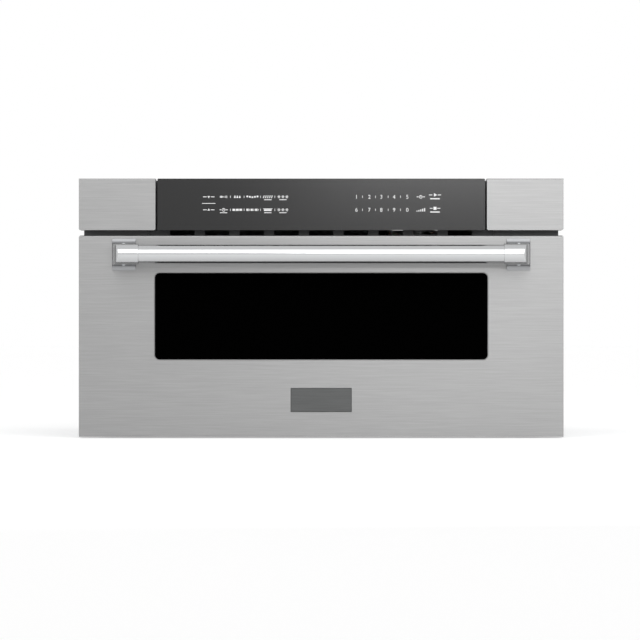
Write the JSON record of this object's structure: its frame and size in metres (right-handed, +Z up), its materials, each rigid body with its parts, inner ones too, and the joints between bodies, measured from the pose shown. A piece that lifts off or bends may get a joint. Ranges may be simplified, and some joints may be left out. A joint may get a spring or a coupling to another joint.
{
  "type": "microwave drawer",
  "caption": "Built-in microwave drawer: steel front with window and bar handle, glass control panel above, sliding tub on ball-bearing slides, motor drive, feet and mounting flange.",
  "frame": {"origin": "on the plane of the feet, in the middle of the width and of the whole depth with the drawer shut", "axes": "+X to the right seen from the room, +Y back into the cabinet, +Z up; the drawer opens towards -Y"},
  "size_m": [0.762, 0.6582, 0.408],
  "materials": {
    "aluminised_steel": "satin",
    "aluminium": "mill finish",
    "ball_steel": "polished",
    "black_glass": "polished black glass",
    "board_green": "solder resist",
    "bronze_bearing": "sintered",
    "brushed_steel_front": "fine horizontal brushing",
    "clear_glass": "clear tempered",
    "copper_winding": "enamelled wire and tape",
    "core_steel": "laminated edge",
    "dark_painted_steel": "satin powder coat",
    "dark_plastic": "moulded, matt",
    "display_black": "smooth",
    "fastener_steel": "zinc plated",
    "foot_rubber": "matt",
    "grille_grey": "satin",
    "mica_cover": "pressed sheet",
    "motor_black": "satin black",
    "plate_metal": "dark satin",
    "polished_metal": "polished",
    "screen_metal": "black perforated",
    "shaft_steel": "ground",
    "slide_steel": "zinc plated",
    "tub_steel": "satin stainless",
    "white_plastic": "moulded, satin",
    "zinc_steel": "zinc coated"
  },
  "bodies": {
    "housing": {"base_plate": "zinc_steel", "feet": "foot_rubber", "outer_cover": "zinc_steel", "back_panel": "zinc_steel", "cover_screws": "fastener_steel", "cord_bushing": "dark_plastic", "mounting_flange": "dark_painted_steel", "vent_grille": "grille_grey", "fascia_wing_right": "brushed_steel_front", "fascia_wing_left": "brushed_steel_front", "control_glass": "black_glass", "control_housing": "dark_plastic", "touch_board": "board_green", "display_module": "display_black", "control_board": "board_green", "cavity_shell": "tub_steel", "stirrer_cover": "mica_cover", "waveguide": "aluminised_steel", "stirrer_motor": "motor_black", "magnetron": "aluminium", "fan_housing": "dark_plastic", "fan_motor": "motor_black", "air_duct": "white_plastic", "transformer_core": "core_steel", "transformer_coils": "copper_winding", "hv_capacitor": "aluminium", "noise_filter": "board_green", "lamp_socket": "white_plastic", "cavity_lamp": "clear_glass", "switch_holders": "white_plastic", "interlock_switches": "dark_plastic", "slide_outers": "slide_steel", "slide_brackets": "zinc_steel", "shaft_bearings": "bronze_bearing", "drive_motor": "motor_black"},
    "drawer": {"drawer_skin": "brushed_steel_front", "window_glass": "black_glass", "name_plate": "plate_metal", "door_frame": "zinc_steel", "window_screen": "screen_metal", "choke_cover": "dark_plastic", "handle_bar": "polished_metal", "handle_bracket_right": "polished_metal", "handle_bracket_left": "polished_metal", "handle_screws": "fastener_steel", "tub": "tub_steel", "glass_tray": "clear_glass", "drawer_rails": "zinc_steel", "slide_inners": "slide_steel", "racks": "white_plastic", "latch_hooks": "white_plastic"},
    "slide_middle_right": {"slide_middle_right": "slide_steel"},
    "slide_middle_left": {"slide_middle_left": "slide_steel"},
    "outer_ball_cages": {"outer_ball_cages": "ball_steel"},
    "inner_ball_cages": {"inner_ball_cages": "ball_steel"},
    "drive_shaft": {"drive_shaft": "shaft_steel", "pinions": "white_plastic"},
    "fan_rotor": {"fan_blade": "white_plastic"},
    "stirrer": {"stirrer_blade": "aluminium"}
  },
  "joints": [
    {"name": "drawer_slide", "type": "slide", "parent": "housing", "child": "drawer", "axis": [0, -1, 0], "range_m": [0, 0.381]},
    {"name": "slide_middle_right_slide", "type": "slide", "parent": "housing", "child": "slide_middle_right", "axis": [0, -1, 0], "range_m": [0, 0.191]},
    {"name": "slide_middle_left_slide", "type": "slide", "parent": "housing", "child": "slide_middle_left", "axis": [0, -1, 0], "range_m": [0, 0.191]},
    {"name": "outer_cage_slide", "type": "slide", "parent": "housing", "child": "outer_ball_cages", "axis": [0, -1, 0], "range_m": [0, 0.0958]},
    {"name": "inner_cage_slide", "type": "slide", "parent": "housing", "child": "inner_ball_cages", "axis": [0, -1, 0], "range_m": [0, 0.2863]},
    {"name": "drive_shaft_spin", "type": "hinge", "parent": "housing", "child": "drive_shaft", "pos_m": [0, -0.1949, 0.026], "axis": [1, 0, 0], "range_deg": [0, 1820.1]},
    {"name": "fan_spin", "type": "hinge", "parent": "housing", "child": "fan_rotor", "pos_m": [0.16, 0.2903, 0.3099], "axis": [0, 1, 0], "continuous": true},
    {"name": "stirrer_spin", "type": "hinge", "parent": "housing", "child": "stirrer", "pos_m": [0, -0.0145, 0.2924], "axis": [0, 0, 1], "continuous": true}
  ],
  "couplings": [
    {"joint": "slide_middle_right_slide", "follows": "drawer_slide", "ratio": 0.5},
    {"joint": "slide_middle_left_slide", "follows": "drawer_slide", "ratio": 0.5},
    {"joint": "outer_cage_slide", "follows": "drawer_slide", "ratio": 0.25},
    {"joint": "inner_cage_slide", "follows": "drawer_slide", "ratio": 0.75},
    {"joint": "drive_shaft_spin", "follows": "drawer_slide", "rad_per_m": 83.333}
  ]
}
